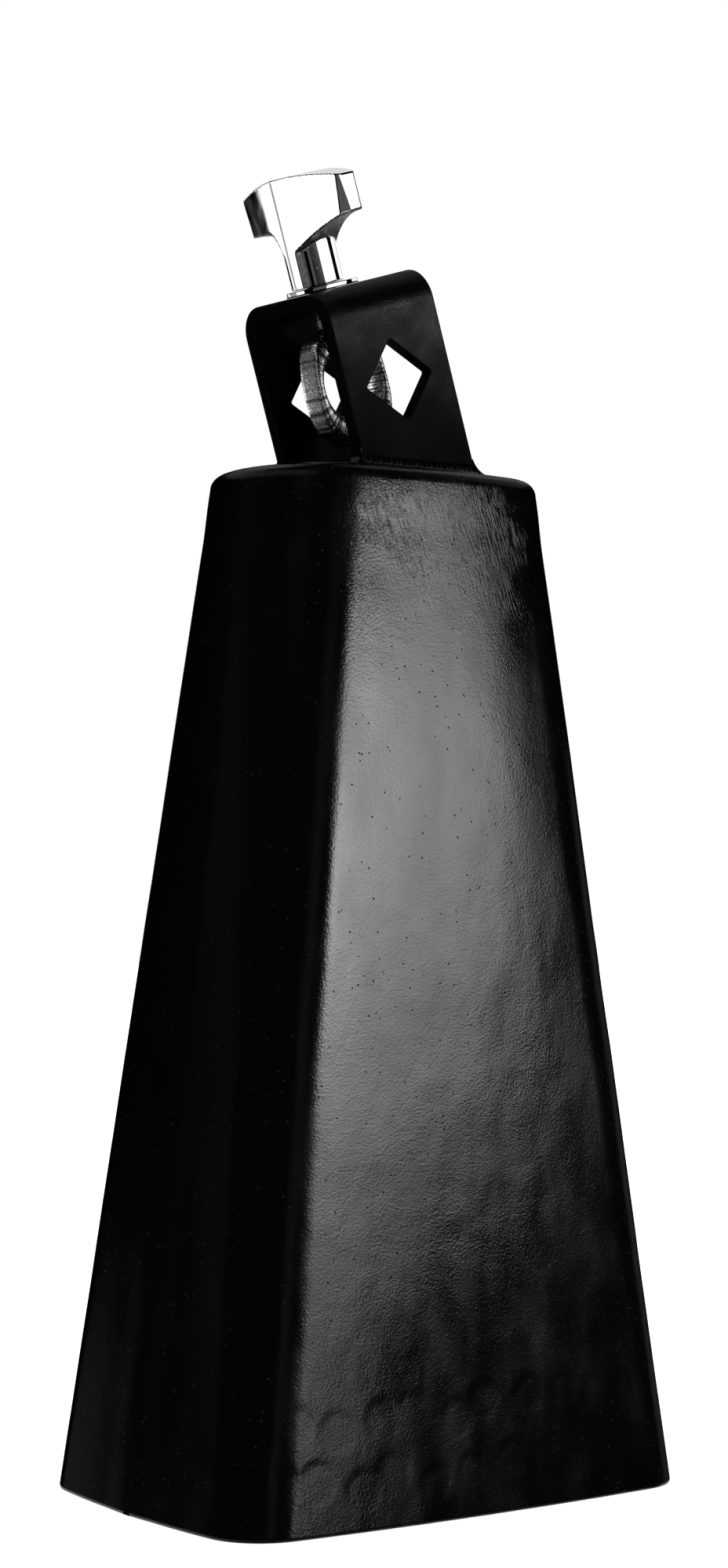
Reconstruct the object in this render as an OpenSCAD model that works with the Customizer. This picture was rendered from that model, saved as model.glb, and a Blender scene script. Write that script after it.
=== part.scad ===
// Cowbell with a rod clamp. The bell stands on its open mouth.
// Origin: centre of the mouth rim. +Z up towards the closed end, +X along the wide faces,
// -Y out of the front face. Lengths are in millimetres.

/* [Bell] */
// Height of the bell from the mouth rim to the closed end
bell_h = 203; // [150:1:260]
// Half length of the mouth along X, measured at its corners
mouth_half_x = 55.4; // [50:0.1:62]
// Half width of the mouth along Y, measured at its corners
mouth_half_y = 37.5; // [34:0.1:42]
// Half length of the closed end along X
top_half_x = 31.8; // [29:0.1:36]
// Half width of the closed end along Y
top_half_y = 22.6; // [21.5:0.1:26]
// Radius of the bell's four long corners at the mouth
mouth_corner_r = 12.7; // [8:0.1:16]
// Radius of the bell's four long corners at the closed end
top_corner_r = 16; // [10:0.1:18]
// How far each side bows out between its corners
side_crown = 1.5; // [0.8:0.1:2.5]
// Radius of the bend between the sides and the closed end
top_edge_r = 3.2; // [2.6:0.1:5]
// Thickness of the sheet steel
sheet_t = 1.6; // [1.2:0.1:2]
// Width of the ground seam weld between the two pressed halves
seam_w = 2; // [1:0.1:3]

/* [Bracket] */
// Place of the clamped rod's axis along X
rod_x = -4.6; // [-8:0.1:0]
// Height of the clamped rod's axis above the closed end
rod_above_bell = 18.3; // [17:0.1:22]
// Lean of the bracket towards -X, in degrees
bracket_lean = 17.6; // [10:0.1:22]
// Width of the strap
strap_w = 26.6; // [22:0.1:32]
// Distance over the strap's two cheeks
strap_span = 29.6; // [27:0.1:34]
// Thickness of the strap
strap_t = 3.2; // [2.5:0.1:4]
// Outer radius of the strap's two bends
strap_bend_r = 6.2; // [4.5:0.1:7]
// Height of the strap's top face over the rod's axis
strap_top = 20.5; // [20:0.1:23]
// Side of the square rod hole, which stands on its corner in each cheek
diamond_side = 11.6; // [10:0.1:12]
// Radius of the bolt's hole through the strap
strap_hole_r = 4.7; // [4.6:0.1:5]
// How far that hole sits from the strap's middle
strap_hole_shift = -0.8; // [-1:0.1:0]
// Height and width of the weld bead along each cheek's outer face
side_bead_leg = 2.8; // [2:0.1:3.2]
// Height and width of the weld bead at the two edges of each cheek
end_bead_leg = 3.8; // [2:0.1:4.5]

/* [Eye bolt] */
// How far the bolt sits from the strap's middle, in the hole's play
bolt_offset = -2.4; // [-2.4:0.1:0]
// Radius of the hole through the eye
eye_hole_r = 6.7; // [6:0.1:6.8]
// Height of the eye hole's middle over the rod's axis, with the clamp open
eye_rise = 1.2; // [0.5:0.1:1.4]
// Thickness of the eye along the rod
eye_t = 6.2; // [5:0.1:7]
// Crest radius of the M6 thread
thread_r = 3; // [2.9:0.05:3]
// Pitch of the thread
thread_pitch = 1; // [1:0.25:1.25]
// Height of the bolt's tip over the rod's axis
bolt_tip = 35.5; // [33:0.1:35.5]

/* [Washer and wing nut] */
// Outer radius of the washer
washer_r = 7.5; // [7.2:0.1:8.5]
// Radius of the washer's hole
washer_hole_r = 3.3; // [3.2:0.05:3.5]
// Thickness of the washer
washer_t = 1.1; // [1:0.1:1.4]
// Half length of the wing nut, tip to middle
wing_half_l = 16.9; // [14:0.1:18]
// Distance from the nut's axis to the ridge that runs down to the washer
ridge_reach = 6.4; // [6:0.1:8]
// Distance from the nut's axis to the blunt ridge on its other side
back_reach = 4.9; // [4.8:0.1:6]
// Half thickness of the wing nut at its tips
wing_half_tip = 2.1; // [1.8:0.05:3]
// Height of the wing nut's crown over the rod's axis
wing_crown = 44; // [43:0.1:46]
// Half length of the flat stem below the wings
stem_half_l = 2.2; // [1.8:0.1:3]
// Radius of the round boss around the thread
boss_r = 4.8; // [4.2:0.1:4.9]

/* [Hidden] */

// Gap that lets two flat faces turn on each other
turning_gap = 0.05;
// Radial clearance of the thread in the nut
thread_gap = 0.05;
// Depth of the thread grooves
thread_depth = 0.45;
strap_under = strap_top - strap_t;
washer_low = strap_top + turning_gap;
nut_low = washer_low + washer_t + turning_gap;
rod_z = bell_h + rod_above_bell;
// Larger than the whole object, for cutting blocks
big = 400;

// Colours
paint_black = [0.06, 0.06, 0.065];
strap_black = [0.05, 0.05, 0.05];
weld_black = [0.09, 0.09, 0.095];
chrome_light = [0.86, 0.87, 0.88];
cast_grey = [0.66, 0.66, 0.68];

// ---- Bell section ----
// A section is four bowed sides joined by round corners. It is described by the direction
// of its outward normal, so that every section has the same points and they loft cleanly.
side_steps = 5;
corner_steps = 7;
edge_steps = 5;

function mix(a, b, t) = a + (b - a) * t;

// Bow angle of a side whose half length between corners is half
function bow_angle(half, crown) = 2 * atan(crown / half);

// Outline points of one quarter, from the +X side's middle to the +Y side's middle
function quarter_points(half_x, half_y, r, crown) =
    let (core_x = half_x - r,
         core_y = half_y - r,
         bow_x = bow_angle(core_y, crown),
         bow_y = bow_angle(core_x, crown),
         side_x_r = core_y / sin(bow_x),
         side_y_r = core_x / sin(bow_y),
         side_x_c = core_x - side_x_r * cos(bow_x),
         side_y_c = core_y - side_y_r * cos(bow_y))
    concat(
        [for (i = [0 : side_steps - 1])
            let (a = bow_x * i / side_steps)
            [side_x_c + (side_x_r + r) * cos(a), (side_x_r + r) * sin(a)]],
        [for (i = [0 : corner_steps])
            let (a = mix(bow_x, 90 - bow_y, i / corner_steps))
            [core_x + r * cos(a), core_y + r * sin(a)]],
        [for (i = [1 : side_steps])
            let (a = 90 - bow_y + bow_y * i / side_steps)
            [(side_y_r + r) * cos(a), side_y_c + (side_y_r + r) * sin(a)]]
    );

// The whole outline, counter-clockwise, with no point given twice
function section_points(half_x, half_y, r, crown) =
    let (q = quarter_points(half_x, half_y, r, crown),
         last = len(q) - 1)
    concat(
        q,
        [for (i = [last - 1 : -1 : 0]) [-q[i][0], q[i][1]]],
        [for (i = [1 : last]) [-q[i][0], -q[i][1]]],
        [for (i = [last - 1 : -1 : 1]) [q[i][0], -q[i][1]]]
    );

// A closed ring at height z, drawn inwards by inset from the bell's outside
function ring_at(z, inset) =
    let (t = min(z, bell_h - top_edge_r) / bell_h)
    [for (p = section_points(mix(mouth_half_x, top_half_x, t) - inset,
                             mix(mouth_half_y, top_half_y, t) - inset,
                             mix(mouth_corner_r, top_corner_r, t) - inset,
                             side_crown)) [p[0], p[1], z]];

// Rings from the mouth to the closed end: a ruled side, then a round bend of radius r
function skin_rings(inset, end_z, r) =
    concat(
        [ring_at(0, inset)],
        [for (i = [0 : edge_steps])
            let (a = 90 * i / edge_steps)
            ring_at(end_z - r + r * sin(a), inset + r * (1 - cos(a)))]
    );

// Faces that join ring k to ring k + 1, each ring having n points
function band_faces(k, n, flip) =
    [for (i = [0 : n - 1])
        let (a = k * n + i,
             b = k * n + (i + 1) % n,
             c = (k + 1) * n + (i + 1) % n,
             d = (k + 1) * n + i)
        flip ? [a, b, c, d] : [d, c, b, a]];

// The whole sheet-steel skin, before it is parted into halves and seams
module skin_solid() {
    outer = skin_rings(0, bell_h, top_edge_r);
    inner = skin_rings(sheet_t, bell_h - sheet_t, top_edge_r - sheet_t);
    n = len(outer[0]);
    rings = len(outer);
    outer_faces = [for (k = [0 : rings - 2]) each band_faces(k, n, false)];
    inner_faces = [for (k = [rings : 2 * rings - 2]) each band_faces(k, n, true)];
    rim_faces = [for (i = [0 : n - 1])
        [i, (i + 1) % n, rings * n + (i + 1) % n, rings * n + i]];
    outer_cap = [[for (i = [n - 1 : -1 : 0]) (rings - 1) * n + i]];
    inner_cap = [[for (i = [0 : n - 1]) (2 * rings - 1) * n + i]];
    polyhedron(
        points = [for (ring = concat(outer, inner)) each ring],
        faces = concat(outer_faces, inner_faces, rim_faces, outer_cap, inner_cap),
        convexity = 6
    );
}

// Half space on the front side of the seam
module front_space() {
    translate([-big / 2, -big - seam_w / 2, -big / 4]) cube(big);
}

// The slab that the seam weld fills
module seam_slab(x_low, x_high) {
    translate([x_low, -seam_w / 2, -big / 4]) cube([x_high - x_low, seam_w, big]);
}

// Where the side seams end and the top seam begins
seam_turn_x = top_half_x - top_edge_r - 4;

module front_shell() {
    color(paint_black)
    intersection() {
        skin_solid();
        front_space();
    }
}

module back_shell() {
    color(paint_black)
    intersection() {
        skin_solid();
        mirror([0, 1, 0]) front_space();
    }
}

module left_seam_weld() {
    color(weld_black)
    intersection() {
        skin_solid();
        seam_slab(-big / 2, -seam_turn_x);
    }
}

module right_seam_weld() {
    color(weld_black)
    intersection() {
        skin_solid();
        seam_slab(seam_turn_x, big / 2);
    }
}

module top_seam_weld() {
    color(weld_black)
    intersection() {
        skin_solid();
        seam_slab(-seam_turn_x, seam_turn_x);
    }
}

// ---- Bracket ----
// Local frame of the clamp: origin on the rod's axis, X across the strap, Y along the rod,
// Z up the bolt
module clamp_frame() {
    translate([rod_x, 0, rod_z]) rotate([0, -bracket_lean, 0]) children();
}

// Upright block with its two upper edges rounded, as seen along the strap's width
module arch_2d(half_l, low, high, r) {
    translate([-half_l, low]) square([2 * half_l, high - r - low]);
    translate([-half_l + r, low]) square([2 * (half_l - r), high - low]);
    for (side = [-1, 1]) translate([side * (half_l - r), high - r]) circle(r, $fn = 64);
}

module strap_solid() {
    leg_low = -2 * rod_above_bell;
    rotate([90, 0, 90])
    translate([0, 0, -strap_w / 2])
    linear_extrude(strap_w)
    difference() {
        arch_2d(strap_span / 2, leg_low, strap_top, strap_bend_r);
        arch_2d(strap_span / 2 - strap_t, leg_low - 1, strap_under, strap_bend_r - strap_t);
    }
}

module diamond_holes() {
    rotate([90, 0, 0])
    rotate([0, 0, 45])
    translate([-diamond_side / 2, -diamond_side / 2, -strap_span])
    cube([diamond_side, diamond_side, 2 * strap_span]);
}

module bracket() {
    color(strap_black)
    difference() {
        clamp_frame()
        difference() {
            strap_solid();
            diamond_holes();
            translate([strap_hole_shift, 0, 0])
            cylinder(h = 2 * strap_top, r = strap_hole_r, $fn = 64);
        }
        translate([-big / 2, -big / 2, bell_h - big]) cube(big);
    }
}

// ---- Bracket welds ----
// The strap's foot on the closed end
lean_step = tan(bracket_lean);
foot_mid = rod_x + rod_above_bell * lean_step;
foot_half = strap_w / 2 / cos(bracket_lean);
foot_low_x = foot_mid - foot_half;
foot_high_x = foot_mid + foot_half;
cheek_out = strap_span / 2;

// Hollow-faced bead section: its toe is on +X and its top is lean to the side of the corner
module bead_2d(width, height, lean) {
    steps = 8;
    sag = 0.36 * min(width, height);
    polygon(concat(
        [[0, 0]],
        [for (i = [0 : steps])
            let (t = i / steps,
                 bow = 2 * sag * t * (1 - t))
            [mix(width + max(lean, 0), lean, t) - bow, mix(0, height, t) - bow]]
    ));
}

// A quarter turn of bead round a corner, from the end bead's width to the side bead's
module corner_bead() {
    scale([end_bead_leg / side_bead_leg, 1, 1])
    rotate_extrude(angle = 90, $fn = 48)
    bead_2d(side_bead_leg, side_bead_leg, 0);
}

// The bead around the outer face and the two edges of one cheek's foot
module foot_bead() {
    bead_y = -cheek_out;
    // along the cheek's outer face
    translate([foot_high_x, bead_y, bell_h])
    rotate([90, 0, -90])
    linear_extrude(foot_high_x - foot_low_x)
    bead_2d(side_bead_leg, side_bead_leg, 0);
    // at the edge that leans away
    translate([foot_high_x, bead_y + strap_t, bell_h])
    rotate([90, 0, 0])
    linear_extrude(strap_t)
    bead_2d(end_bead_leg, end_bead_leg, -end_bead_leg * lean_step);
    // at the edge that leans over
    translate([foot_low_x, bead_y, bell_h])
    rotate([90, 0, 180])
    linear_extrude(strap_t)
    bead_2d(end_bead_leg, end_bead_leg, end_bead_leg * lean_step);
    // round the two outer corners
    translate([foot_high_x, bead_y, bell_h]) mirror([0, 1, 0]) corner_bead();
    translate([foot_low_x, bead_y, bell_h]) rotate([0, 0, 180]) corner_bead();
}

module front_bracket_weld() {
    color(weld_black)
    foot_bead();
}

module rear_bracket_weld() {
    color(weld_black)
    mirror([0, 1, 0]) foot_bead();
}

// ---- Eye bolt ----
// Outline of the eye seen along the rod, right half from the bottom to the shoulder
eye_half_w = 8.8;
eye_bottom = -11.2;
eye_shoulder = 10.3;
neck_foot = 12.9;
eye_outline = [
    [3.2, eye_bottom], [5.6, -9.8], [7.4, -7.8], [8.3, -5.6], [8.8, -2.6], [eye_half_w, 0.4],
    [8.7, 4], [8.2, 7.2], [7.3, eye_shoulder], [5.6, 11.6], [thread_r, neck_foot]
];

module eye_plate() {
    rotate([90, 0, 0])
    translate([0, 0, -eye_t / 2])
    linear_extrude(eye_t)
    polygon(concat(
        eye_outline,
        [for (i = [len(eye_outline) - 1 : -1 : 0]) [-eye_outline[i][0], eye_outline[i][1]]]
    ));
}

// Round shank: a plain neck, then thread crests and roots as rings
module shank() {
    root_r = thread_r - thread_depth;
    thread_low = strap_under - 2;
    turns = floor((bolt_tip - thread_low) / thread_pitch);
    rotate_extrude($fn = 64)
    polygon(concat(
        [[0, eye_shoulder], [thread_r, eye_shoulder], [thread_r, thread_low]],
        [for (i = [0 : turns - 1])
            let (z = thread_low + i * thread_pitch)
            each [[root_r, z + 0.4 * thread_pitch], [root_r, z + 0.5 * thread_pitch],
                  [thread_r, z + 0.9 * thread_pitch], [thread_r, z + thread_pitch]]],
        [[root_r, bolt_tip], [0, bolt_tip]]
    ));
}

module eye_bolt() {
    color(cast_grey)
    clamp_frame()
    translate([bolt_offset, 0, 0])
    difference() {
        union() {
            eye_plate();
            shank();
        }
        translate([0, 0, eye_rise])
        rotate([90, 0, 0])
        cylinder(h = 2 * eye_t, r = eye_hole_r, center = true, $fn = 96);
    }
}

// ---- Washer ----
module washer() {
    color(chrome_light)
    clamp_frame()
    translate([bolt_offset, 0, washer_low])
    difference() {
        cylinder(h = washer_t, r = washer_r, $fn = 64);
        translate([0, 0, -1]) cylinder(h = washer_t + 2, r = washer_hole_r, $fn = 64);
    }
}

// ---- Wing nut ----
// Heights of the wing tips and of the arch's foot on the stem
tip_low = 34.1;
tip_high = 41.8;
arch_low = 29.1;
arch_power = 1.4;
// Room over the bolt's tip for four turns of tightening
tip_room = 4.6;

// Seen from above: a slim diamond with cut-off tips, its -X ridge standing further out
module wing_plan_2d() {
    polygon([
        [back_reach, 0], [wing_half_tip, wing_half_l], [-wing_half_tip, wing_half_l],
        [-ridge_reach, 0], [-wing_half_tip, -wing_half_l], [wing_half_tip, -wing_half_l]
    ]);
}

// Seen along the ridges: arches under the wings and a crowned top
module wing_front_2d() {
    steps = 12;
    tip_cut = 0.6;
    half = concat(
        [for (i = [0 : steps])
            let (t = i / steps)
            [mix(stem_half_l, wing_half_l, t),
             tip_low - (tip_low - arch_low) * pow(1 - t, arch_power)]],
        [[wing_half_l, tip_high - tip_cut]],
        [for (i = [0 : steps - 1])
            let (x = (wing_half_l - tip_cut) * (1 - i / steps))
            [x, wing_crown - (wing_crown - tip_high) * pow(x / wing_half_l, 2)]]
    );
    polygon(concat(
        half,
        [[0, wing_crown]],
        [for (i = [len(half) - 1 : -1 : 0]) [-half[i][0], half[i][1]]]
    ));
}

// The part of the ridge that runs down to the washer as a narrow rib
module ridge_rib() {
    rib_tip = mix(ridge_reach, wing_half_tip, stem_half_l / wing_half_l);
    translate([0, 0, nut_low])
    linear_extrude(tip_low - nut_low)
    polygon([[-ridge_reach, 0], [-rib_tip, -stem_half_l], [0, -stem_half_l],
             [0, stem_half_l], [-rib_tip, stem_half_l]]);
}

module wing_nut() {
    color(chrome_light)
    clamp_frame()
    translate([bolt_offset, 0, 0])
    difference() {
        union() {
            intersection() {
                linear_extrude(wing_crown + 1) wing_plan_2d();
                rotate([90, 0, 90])
                translate([0, 0, -2 * ridge_reach])
                linear_extrude(4 * ridge_reach)
                wing_front_2d();
            }
            ridge_rib();
            translate([0, 0, nut_low])
            cylinder(h = tip_low - nut_low, r = boss_r, $fn = 64);
        }
        translate([0, 0, nut_low - 1])
        cylinder(h = bolt_tip + tip_room + 1 - nut_low, r = thread_r + thread_gap, $fn = 64);
    }
}

front_shell();
back_shell();
left_seam_weld();
right_seam_weld();
top_seam_weld();
bracket();
front_bracket_weld();
rear_bracket_weld();
eye_bolt();
washer();
wing_nut();
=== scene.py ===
# Looks for the cowbell with a rod clamp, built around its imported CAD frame. Lengths are in metres.
import math
import random

import bmesh
import bpy
from mathutils import Matrix, Vector, noise


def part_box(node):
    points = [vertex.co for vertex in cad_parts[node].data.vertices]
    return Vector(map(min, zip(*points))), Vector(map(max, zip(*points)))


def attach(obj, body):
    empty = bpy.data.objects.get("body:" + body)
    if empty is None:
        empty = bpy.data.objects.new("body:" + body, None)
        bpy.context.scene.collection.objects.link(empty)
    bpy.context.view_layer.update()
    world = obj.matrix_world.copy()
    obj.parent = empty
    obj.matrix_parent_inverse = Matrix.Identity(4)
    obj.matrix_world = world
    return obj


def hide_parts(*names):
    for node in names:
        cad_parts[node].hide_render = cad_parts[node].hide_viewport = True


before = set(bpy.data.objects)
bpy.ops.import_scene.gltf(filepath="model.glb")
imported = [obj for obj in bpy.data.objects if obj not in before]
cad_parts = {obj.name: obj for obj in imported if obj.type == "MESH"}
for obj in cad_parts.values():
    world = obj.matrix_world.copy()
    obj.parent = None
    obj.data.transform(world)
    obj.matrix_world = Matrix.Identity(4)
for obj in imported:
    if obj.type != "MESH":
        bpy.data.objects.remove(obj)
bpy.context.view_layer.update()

MM = 0.001

# ---- Bell sizes, as in the CAD source ----
BELL_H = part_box("front_shell")[1].z
MOUTH_HALF_X = 55.4 * MM
MOUTH_HALF_Y = 37.5 * MM
TOP_HALF_X = 31.8 * MM
TOP_HALF_Y = 22.6 * MM
MOUTH_CORNER_R = 12.7 * MM
TOP_CORNER_R = 16 * MM
SIDE_CROWN = 1.5 * MM
TOP_EDGE_R = 3.2 * MM
SHEET_T = 1.6 * MM
SEAM_HALF = 1 * MM
SEAM_TURN_X = TOP_HALF_X - TOP_EDGE_R - 4 * MM

# ---- Clamp sizes, in the clamp's frame: X across the strap, Y along the rod, Z up the bolt ----
ROD_X = -4.6 * MM
ROD_ABOVE_BELL = 18.3 * MM
LEAN = math.radians(17.6)
STRAP_W = 26.6 * MM
STRAP_SPAN = 29.6 * MM
STRAP_T = 3.2 * MM
STRAP_BEND_R = 6.2 * MM
STRAP_TOP = 20.5 * MM
DIAMOND_SIDE = 11.6 * MM
STRAP_HOLE_R = 4.7 * MM
STRAP_HOLE_SHIFT = -0.8 * MM
SIDE_BEAD_LEG = 2.8 * MM
END_BEAD_LEG = 3.8 * MM
BOLT_OFFSET = -2.4 * MM
EYE_HOLE_R = 6.7 * MM
EYE_RISE = 1.2 * MM
EYE_T = 6.2 * MM
THREAD_R = 3 * MM
THREAD_PITCH = 1 * MM
THREAD_DEPTH = 0.45 * MM
THREAD_LOW = 15.3 * MM
BOLT_TIP = 35.5 * MM
WASHER_LOW = 20.55 * MM
WASHER_R = 7.5 * MM
WASHER_HOLE_R = 3.3 * MM
WASHER_T = 1.1 * MM
NUT_LOW = 21.7 * MM
NUT_BORE_R = 3.05 * MM
NUT_BORE_TOP = 40.1 * MM
WING_HALF_L = 16.9 * MM
WING_HALF_TIP = 2.1 * MM
WING_CROWN = 44 * MM
WING_TIP_HIGH = 41.8 * MM
WING_TIP_LOW = 34.1 * MM
ARCH_LOW = 29.1 * MM
RIDGE_REACH = 6.4 * MM
BACK_REACH = 4.9 * MM
STEM_HALF_L = 2.2 * MM
BOSS_R = 4.8 * MM

CLAMP_FRAME = Matrix.Translation((ROD_X, 0, BELL_H + ROD_ABOVE_BELL)) @ Matrix.Rotation(-LEAN, 4, "Y")
BOLT_FRAME = CLAMP_FRAME @ Matrix.Translation((BOLT_OFFSET, 0, 0))
EYE_MIDDLE = BOLT_FRAME @ Vector((0, 0, EYE_RISE))


# ---- Small helpers ----
def mix(a, b, t):
    """The value a share t of the way from a to b."""
    return a + (b - a) * t


def smooth_step(low, high, value):
    """Rises from 0 at low to 1 at high with a soft start and end."""
    t = min(max((value - low) / (high - low), 0), 1)
    return t * t * (3 - 2 * t)


def full_turn(steps):
    """Angles spaced evenly round a circle."""
    return [2 * math.pi * k / steps for k in range(steps)]


def link(obj):
    bpy.context.scene.collection.objects.link(obj)
    return obj


def rough_noise(x, y, z, octaves=3):
    """Smooth noise of about -1 to 1 that gets finer octave by octave."""
    return noise.fractal(Vector((x, y, z)), 1.0, 2.0, octaves, noise_basis="PERLIN_ORIGINAL")


def clean_mesh(mesh, sharp_angle):
    """Joins points that coincide, turns every face outwards and shades smooth up to an angle."""
    same_point = 0.0005 * MM
    work = bmesh.new()
    work.from_mesh(mesh)
    bmesh.ops.remove_doubles(work, verts=work.verts, dist=same_point)
    bmesh.ops.dissolve_degenerate(work, edges=work.edges, dist=same_point)
    bmesh.ops.recalc_face_normals(work, faces=work.faces)
    for face in work.faces:
        face.smooth = True
    work.to_mesh(mesh)
    work.free()
    mesh.set_sharp_from_angle(angle=math.radians(sharp_angle))


def make_object(name, points, faces, sharp_angle=40, place=None):
    """A clean, smoothly shaded mesh object, moved by the matrix place."""
    mesh = bpy.data.meshes.new(name)
    mesh.from_pydata([tuple(p) for p in points], [], faces)
    if place is not None:
        mesh.transform(place)
    clean_mesh(mesh, sharp_angle)
    return link(bpy.data.objects.new(name, mesh))


def grid_faces(rows, columns, close_rows=False, close_columns=False):
    """Quads between neighbouring rows and columns of points that are listed row by row."""
    faces = []
    for i in range(rows if close_rows else rows - 1):
        for j in range(columns if close_columns else columns - 1):
            up = (i + 1) % rows
            over = (j + 1) % columns
            faces.append((i * columns + j, i * columns + over, up * columns + over, up * columns + j))
    return faces


def lofted(name, rings, sharp_angle=40, place=None):
    """A closed solid through rings of equal point counts, with a face over each end."""
    columns = len(rings[0])
    points = [p for ring in rings for p in ring]
    faces = grid_faces(len(rings), columns, close_columns=True)
    faces.append(tuple(range(columns)))
    faces.append(tuple(range(len(points) - 1, len(points) - 1 - columns, -1)))
    return make_object(name, points, faces, sharp_angle, place)


def revolved(name, profile, steps, sharp_angle=40, place=None):
    """A ring made by turning a closed profile of (radius, height) points about Z."""
    points = []
    for a in full_turn(steps):
        points += [(r * math.cos(a), r * math.sin(a), z) for r, z in profile]
    faces = grid_faces(steps, len(profile), close_rows=True, close_columns=True)
    return make_object(name, points, faces, sharp_angle, place)


def bake_modifiers(obj):
    """Makes what the modifiers show into the object's own mesh."""
    shown = bpy.context.evaluated_depsgraph_get()
    mesh = bpy.data.meshes.new_from_object(obj.evaluated_get(shown))
    obj.modifiers.clear()
    obj.data = mesh
    return obj


def combine(obj, other, operation):
    """Adds another closed solid to obj, or cuts it away."""
    change = obj.modifiers.new(operation.lower(), "BOOLEAN")
    change.operation = operation
    change.solver = "EXACT"
    change.object = other
    bake_modifiers(obj)
    bpy.data.objects.remove(other)
    return obj


def fused(name, parts, voxel, rounds):
    """One skin over several overlapping solids, with its edges rounded as on a casting."""
    work = bmesh.new()
    for part in parts:
        work.from_mesh(part.data)
        bpy.data.objects.remove(part)
    mesh = bpy.data.meshes.new(name)
    work.to_mesh(mesh)
    work.free()
    obj = link(bpy.data.objects.new(name, mesh))
    skin = obj.modifiers.new("skin", "REMESH")
    skin.mode = "VOXEL"
    skin.voxel_size = voxel
    skin.use_smooth_shade = True
    ease = obj.modifiers.new("ease", "SMOOTH")
    ease.factor = 0.5
    ease.iterations = rounds
    return bake_modifiers(obj)


def flat_faces_first(obj):
    """Keeps wide flat faces flat in their shading, so that only the rounded edges turn."""
    weigh = obj.modifiers.new("weigh", "WEIGHTED_NORMAL")
    weigh.weight = 100
    weigh.keep_sharp = True


# ---- Materials ----
class Finish:
    """A procedural surface: a Principled shader whose colour, roughness and relief come from fields."""

    def __init__(self, name, metallic, roughness, specular=0.5):
        self.material = bpy.data.materials.new(name)
        self.material.use_nodes = True
        self.tree = self.material.node_tree
        self.shader = self.tree.nodes["Principled BSDF"]
        self.shader.inputs["Metallic"].default_value = metallic
        self.shader.inputs["Roughness"].default_value = roughness
        self.shader.inputs["Specular IOR Level"].default_value = specular
        self.place = self.tree.nodes.new("ShaderNodeTexCoord").outputs["Object"]
        self.relief = None

    def node(self, kind, **settings):
        made = self.tree.nodes.new(kind)
        for key, value in settings.items():
            setattr(made, key, value)
        return made

    def join(self, source, target):
        self.tree.links.new(source, target)

    def stretched(self, turn, sizes):
        """Object coordinates turned, in degrees, then divided by a feature size along each axis."""
        spin = self.node("ShaderNodeMapping", vector_type="POINT")
        spin.inputs["Rotation"].default_value = [math.radians(a) for a in turn]
        self.join(self.place, spin.inputs["Vector"])
        scale = self.node("ShaderNodeMapping", vector_type="POINT")
        scale.inputs["Scale"].default_value = [1 / size for size in sizes]
        self.join(spin.outputs["Vector"], scale.inputs["Vector"])
        return scale.outputs["Vector"]

    def noise(self, size, detail=2, place=None):
        """Cloudy noise whose features are about size across."""
        field = self.node("ShaderNodeTexNoise")
        field.inputs["Scale"].default_value = 1 / size
        field.inputs["Detail"].default_value = detail
        self.join(place or self.place, field.inputs["Vector"])
        return field.outputs["Fac"]

    def spots(self, spacing, radius):
        """1 inside small round spots that are scattered about spacing apart, and 0 elsewhere."""
        field = self.node("ShaderNodeTexVoronoi")
        field.inputs["Scale"].default_value = 1 / spacing
        self.join(self.place, field.inputs["Vector"])
        return self.ranged(field.outputs["Distance"], 0, radius / spacing, 1, 0)

    def ranged(self, value, low, high, to_low, to_high):
        """Maps low..high to to_low..to_high, and holds what lies outside."""
        scale = self.node("ShaderNodeMapRange")
        limits = {"From Min": low, "From Max": high, "To Min": to_low, "To Max": to_high}
        for key, number in limits.items():
            scale.inputs[key].default_value = number
        self.join(value, scale.inputs["Value"])
        return scale.outputs["Result"]

    def maths(self, operation, a, b):
        """Adds or multiplies two fields, or a field and a number."""
        result = self.node("ShaderNodeMath", operation=operation)
        for socket, value in zip(result.inputs, (a, b)):
            if isinstance(value, (int, float)):
                socket.default_value = value
            else:
                self.join(value, socket)
        return result.outputs["Value"]

    def axis(self, name):
        """The object's own X, Y or Z in metres, as a field."""
        split = self.node("ShaderNodeSeparateXYZ")
        self.join(self.place, split.inputs["Vector"])
        return split.outputs[name]

    def colour(self, dark, light, mask):
        """Grey that runs from dark to light with the mask."""
        blend = self.node("ShaderNodeMix", data_type="RGBA")
        blend.inputs[6].default_value = (dark, dark, dark, 1)
        blend.inputs[7].default_value = (light, light, light, 1)
        self.join(mask, blend.inputs[0])
        self.join(blend.outputs[2], self.shader.inputs["Base Color"])

    def roughness(self, value):
        self.join(value, self.shader.inputs["Roughness"])

    def bump(self, height, depth):
        """Relief of the given depth, laid over the relief already there."""
        layer = self.node("ShaderNodeBump")
        layer.inputs["Distance"].default_value = depth
        self.join(height, layer.inputs["Height"])
        if self.relief is not None:
            self.join(self.relief, layer.inputs["Normal"])
        self.relief = layer.outputs["Normal"]
        self.join(self.relief, self.shader.inputs["Normal"])


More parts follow.
